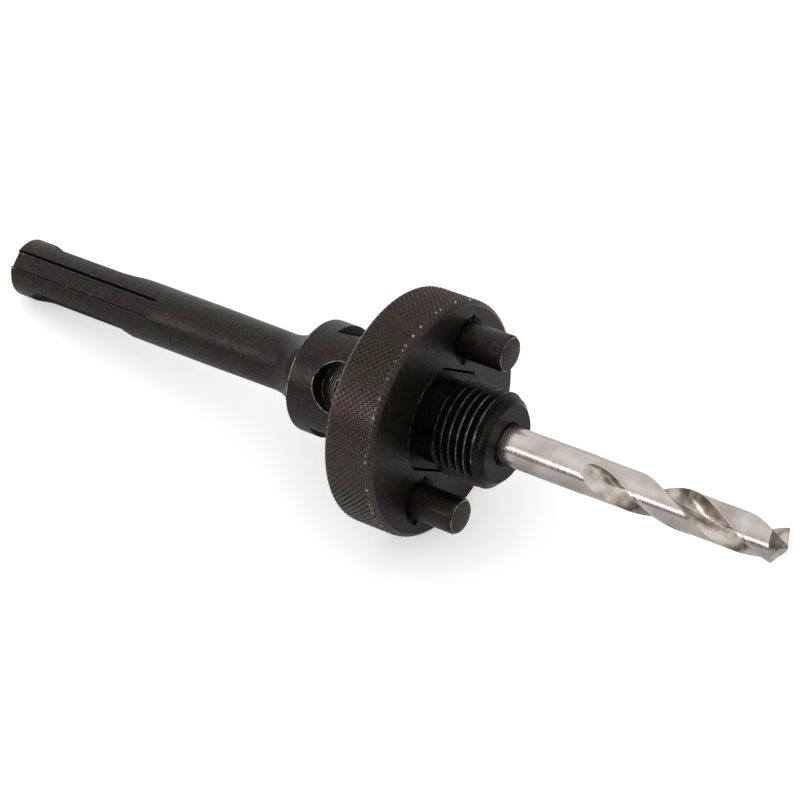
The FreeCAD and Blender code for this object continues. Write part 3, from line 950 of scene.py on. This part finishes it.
        rim.reshape(cut_knurl)
        rim.clean(GRID_WELD)
        glints = -self.front_bevel_length - self.glint_width
        peaks = self.rim_radius - self.knurl_depth / 2

        def finish_at(middle: Vector) -> Optional[int]:
            """Glints on the front peaks, and a rubbed rear bevel."""
            x, radius = station_and_radius(middle)
            if radius > peaks and x > glints:
                return 1
            return 2 if x < -self.thickness + self.rear_bevel and radius > inside else None

        rim.dress(finish_at)
        looks = (Look.KNURLED, Look.GLINTING, Look.RUBBED)
        bench.lay(rim, "collar_rim", Body.COLLAR, looks, angle=12)


@dataclass
class DrivePin(Part):
    """A drive pin pressed into the collar, with a chamfered tip."""

    side: int
    radius: float = 3.0
    circle: float = 26.4
    reach: float = 7.9
    chamfer: float = 0.5
    chamfer_width: float = 0.3
    neck_radius: float = 2.7
    rear_chamfer: float = 0.2
    shoulder: float = 0.2
    edge_wear: float = 0.07

    def build(self, bench: Bench) -> None:
        """Turn the pin and dress it."""
        rear = -DriveCollar.thickness + self.rear_chamfer / 2
        outline = Outline().to((rear, 0), (rear, self.neck_radius - self.rear_chamfer))
        outline.to((rear + self.rear_chamfer, self.neck_radius), (self.shoulder, self.neck_radius))
        outline.to((self.shoulder, self.radius), (self.reach - self.chamfer, self.radius))
        outline.to((self.reach, self.radius - self.chamfer_width), (self.reach, 0))
        pin = Stock.turned(outline, FACETS).shift(z=self.side * self.circle / 2)
        name = "drive_pin_upper" if self.side > 0 else "drive_pin_lower"
        pin.break_edges(self.edge_wear, chosen=lambda p: p.x > self.reach / 2)
        bench.lay(pin, f"{name}_turned", Body.COLLAR, (Look.BLACK, Look.WORN), (name,))


@dataclass
class PilotDrill(Part):
    """The pilot drill: a plain shank, two right-hand flutes and a relieved point."""

    radius: float = 3.175
    rear: float = 21.6
    rear_chamfer: float = 0.4
    screw_flat: float = 2.75
    screw_flat_front: float = 11.2
    screw_flat_rear: float = 19.2
    tip: float = 60.9
    point_angle: float = 135.0
    lead: float = 36.7
    edge_station: float = 34.75
    edge_angle: float = 86.0
    full_depth: float = 33.4
    runout: float = 6.5
    runout_power: float = 1.7
    opening: float = 5.0
    runout_twist: float = 6.9
    body_relief: float = 0.09
    land_depth: float = 0.15
    margin_angle: float = 8.0
    margin_ease: float = 1.0
    land_angle: float = 93.0
    land_step: int = 5
    chisel_radius: float = 0.35
    lip_offset: float = 0.5
    lip_lead: float = 9.0
    lip_guard: float = 25.0
    lip_relief: float = 11.0
    grinding: float = 0.2
    rings: int = 10
    step: float = 0.2
    flute: tuple[Pair, ...] = (
        (3.175, 0), (2.75, -1), (2.3, -2), (1.85, -1.5), (1.45, 1.5), (1.12, 8), (0.88, 17), (0.72, 28),
        (0.65, 40), (0.7, 51), (0.9, 61), (1.2, 68), (1.65, 74), (2.15, 79), (2.65, 83.2),
    )

    def twist(self, station: float) -> float:
        """Degrees by which the leading edge has turned at a station."""
        return self.edge_angle + (station - self.edge_station) * 360 / self.lead

    def section(self, station: float) -> Stock:
        """The drill's section: two lands with their margins, and two flutes between them."""
        low = self.radius - self.body_relief
        margin = int(self.land_angle - self.margin_angle)
        half = [(low, angle - self.land_angle) for angle in range(0, margin, self.land_step)]
        half += [(low, -self.margin_angle - self.margin_ease), (self.radius, -self.margin_angle)]
        half += [(self.radius, -self.margin_angle / 2), *self.flute, (low, 180 - self.land_angle)]
        stock = Stock()
        for turn in (self.twist(station), self.twist(station) + 180):
            places = [(radius, math.radians(turn + angle)) for radius, angle in half]
            verts = [
                stock.bm.verts.new((station, -radius * math.sin(angle), radius * math.cos(angle)))
                for radius, angle in places
            ]
            for pair in zip(verts, verts[1:]):
                stock.bm.edges.new(pair)
        bmesh.ops.remove_doubles(stock.bm, verts=stock.bm.verts, dist=GRID_WELD)
        return stock

    def lift_out(self, point: Vector) -> Vector:
        """Let the flutes rise and close where their cutter left the shank, and untwist them there."""
        x, radius = station_and_radius(point)
        short = self.full_depth - x
        if short <= 0:
            return point
        begun = max(0.0, x - (self.full_depth - self.runout))
        depth = 1 - (1 - begun / self.runout) ** self.runout_power
        width = math.sqrt(1 - max(0.0, 1 - begun / self.opening) ** 2)
        turn = self.twist(x)
        angle = math.degrees(math.atan2(-point.y, point.z)) - turn
        half_land = self.land_angle / 2
        half_flute = 90 - half_land
        if radius > self.radius - self.body_relief - TOUCH:
            place = (angle + half_land + 90) % 180 - 90
            shift = place * ((90 - half_flute * width) / half_land - 1)
            share = width
        else:
            place = (angle - half_flute + 90) % 180 - 90
            shift = place * (width - 1)
            share = depth
        raised = with_radius(point, self.radius - (self.radius - radius) * share)
        untwist = min(short, self.runout) * (360 / self.lead - self.runout_twist)
        return Matrix.Rotation(math.radians(shift + untwist), 3, "X") @ raised

    def envelope(self) -> Stock:
        """The turned blank with its point ground: each flank falls away behind its lip."""
        slope = math.tan(math.radians(self.point_angle / 2))
        reach = self.radius + self.grinding
        outline = Outline().to((-self.rear, 0), (-self.rear, self.radius - self.rear_chamfer))
        outline.to((-self.rear + self.rear_chamfer, self.radius), (0, self.radius), (0, reach))
        for ring in range(self.rings, -1, -1):
            radius = reach * ring / self.rings
            outline.to((self.tip - radius / slope, radius))
        blank = Stock.turned(outline, 180)
        fall = math.tan(math.radians(self.lip_relief))
        lip_start = self.twist(self.tip - self.radius / slope) - self.lip_lead

        def grind(point: Vector) -> Vector:
            """Lower the flanks behind the lips."""
            x, radius = station_and_radius(point)
            if x < self.tip - reach / slope - TOUCH or radius < self.chisel_radius:
                return point
            lip = lip_start + math.degrees(math.asin(min(1, self.lip_offset / radius)))
            turn = lip - math.degrees(math.atan2(-point.y, point.z))
            behind = (turn + self.lip_guard) % 180 - self.lip_guard
            return point - TOOL_AXIS * fall * (radius - self.chisel_radius) * math.radians(max(0, behind))

        return blank.reshape(grind)

    def build(self, bench: Bench) -> None:
        """Sweep the section along the drill, grind its ends and dress it."""
        start = self.full_depth - self.runout - OVER
        drill = self.section(start)
        steps = math.ceil((self.tip + OVER - start) / self.step)
        made = bmesh.ops.spin(
            drill.bm, geom=drill.bm.verts[:] + drill.bm.edges[:], axis=TOOL_AXIS,
            dvec=(self.step, 0, 0), angle=math.radians(steps * self.step * 360 / self.lead), steps=steps,
        )
        drill.reshape(self.lift_out)
        rear = [edge for edge in drill.bm.edges if edge.is_boundary and edge not in made["geom_last"]]
        stretched = bmesh.ops.extrude_edge_only(drill.bm, edges=rear)["geom"]
        for vert in (item for item in stretched if isinstance(item, bmesh.types.BMVert)):
            vert.co.x = -self.rear - OVER
        bmesh.ops.holes_fill(drill.bm, edges=[edge for edge in drill.bm.edges if edge.is_boundary])
        drill.clean(SWEEP_WELD)
        drill.within(self.envelope())
        reach = self.radius + OVER
        low = (-self.screw_flat_rear, -reach, -reach)
        drill.cut(Stock.block(low, (-self.screw_flat_front, -self.screw_flat, reach)))
        drill.clean(SWEEP_WELD)
        flutes = self.full_depth - self.runout
        milled_radius = self.radius - self.land_depth
        drill.dress(lambda p: int(p.x > flutes and math.hypot(p.y, p.z) < milled_radius))
        looks = (Look.BRIGHT, Look.MILLED)
        bench.lay(drill, "twist_drill", Body.ARBOR, looks, ("pilot_drill",), 24)


@dataclass
class SetScrew(Part):
    """The socket set screw at the bottom of its counterbore."""

    radius: float = 2.9
    top: float = 6.9
    tip: float = 2.8
    chamfer: float = 0.4
    socket_across: float = 3.0
    socket_depth: float = 2.2
    edge_wear: float = 0.08

    def build(self, bench: Bench) -> None:
        """Make the screw with its hexagon socket, and dress it."""
        screw = Stock.rod(self.radius, self.tip, self.top)
        screw.break_edges(self.chamfer, worn=0)
        across_corners = self.socket_across / math.sqrt(3)
        screw.cut(Stock.rod(across_corners, self.top - self.socket_depth, self.top + OVER, 6))
        crown = self.edge_wear + self.chamfer - self.top
        screw.break_edges(self.edge_wear, angle=25, chosen=lambda p: p.y < crown)
        screw.shift(-Arbor.screw_station)
        bench.lay(screw, "set_screw_socket", Body.SCREW, (Look.BLACK, Look.WORN), ("set_screw",))


@dataclass
class Studio:
    """White sweep, pale room, strip box and the camera that took the view."""

    camera_mm: Triple = (163.506, -227.648, 332.975)
    forward: Triple = (-0.377958, 0.54482, -0.748544)
    lens: float = 119.46
    floor_reach: float = 3.0
    floor_glow: float = 0.45
    room_strength: float = 1.15
    strip_place: Triple = (-0.48, -0.56, 0.33)
    strip_aim: Triple = (0, 0, 0.02)
    strip_size: Pair = (0.8, 0.1)
    strip_watts: float = 1.5

    def place_camera(self) -> None:
        """Put the camera where the photo's outlines fit."""
        data = bpy.data.cameras.new("camera")
        data.lens = self.lens
        data.sensor_width = 36
        data.clip_start = 0.01
        camera = add_piece("camera", data)
        aim(camera, Vector(self.camera_mm) * MM, Vector(self.forward))
        bpy.context.scene.camera = camera

    def lay_floor(self) -> None:
        """A wide white floor, which the camera sees a little lighter than reflections do."""
        sheet = Stock()
        bmesh.ops.create_grid(sheet.bm, x_segments=1, y_segments=1, size=self.floor_reach)
        floor = sheet.as_piece("floor")
        material, tree = new_material("white_sweep_paper")
        seen = add_node(tree, "LightPath").outputs["Is Camera Ray"]
        lift = add_node(tree, "Math", {0: seen, 1: self.floor_glow}, operation="MULTIPLY")
        paper = add_node(tree, "BsdfDiffuse", {"Color": linear("#e6e6e6")})
        glow = add_node(tree, "Emission", {"Color": linear("#ffffff"), "Strength": lift.outputs[0]})
        both = add_node(tree, "AddShader", {0: paper.outputs[0], 1: glow.outputs[0]})
        add_node(tree, "OutputMaterial", {"Surface": both.outputs[0]})
        floor.data.materials.append(material)

    def hang_strip(self) -> None:
        """Hang the strip box, whose long bright line lies along the drill."""
        data = bpy.data.lights.new("strip_box", "AREA")
        data.shape = "RECTANGLE"
        data.size, data.size_y = self.strip_size
        data.energy = self.strip_watts
        place = Vector(self.strip_place)
        aim(add_piece("strip_box", data), place, Vector(self.strip_aim) - place)

    def light_room(self) -> None:
        """A room with a pale ceiling and a pale backdrop behind the tool, which the camera sees as white."""
        world = bpy.data.worlds.new("room")
        world.use_nodes = True
        tree = world.node_tree
        tree.nodes.clear()
        way = add_node(tree, "TexCoord").outputs["Generated"]
        height = add_node(tree, "SeparateXYZ", {"Vector": way}).outputs["Z"]
        ahead = Vector(self.forward[:2]).to_3d().normalized()
        along = add_node(tree, "VectorMath", {0: way, 1: ahead}, operation="DOT_PRODUCT")
        ceiling = add_ramp(tree, height, [(0.1, "#585858"), (0.35, "#8f8f8f"), (0.75, "#ffffff")])
        backdrop = add_ramp(tree, along.outputs["Value"], [(0.35, "#000000"), (0.8, "#f2f2f2")])
        room = add_node(
            tree, "Mix", {0: 1.0, 6: ceiling, 7: backdrop}, data_type="RGBA", blend_type="LIGHTEN"
        )
        light = {"Color": room.outputs[2], "Strength": self.room_strength}
        walls = add_node(tree, "Background", light)
        paper = add_node(tree, "Background", {"Color": linear("#ffffff"), "Strength": 1.0})
        seen = add_node(tree, "LightPath").outputs["Is Camera Ray"]
        air = add_node(tree, "MixShader", {0: seen, 1: walls.outputs[0], 2: paper.outputs[0]})
        add_node(tree, "OutputWorld", {"Surface": air.outputs[0]})
        bpy.context.scene.world = world
        bpy.context.scene.view_settings.view_transform = "Standard"

    def build(self) -> None:
        """Set up camera, floor, lamp and room."""
        self.place_camera()
        self.lay_floor()
        self.hang_strip()
        self.light_room()


def main() -> None:
    """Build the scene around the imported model."""
    logging.basicConfig(level=logging.INFO, format="%(message)s")
    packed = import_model()
    bench = Bench.at(ToolFrame.from_record(packed["record"]))
    for part in (Arbor(), Nose(), DriveCollar(), DrivePin(1), DrivePin(-1), SetScrew(), PilotDrill()):
        part.build(bench)
    Studio().build()


if __name__ == "__main__":
    main()
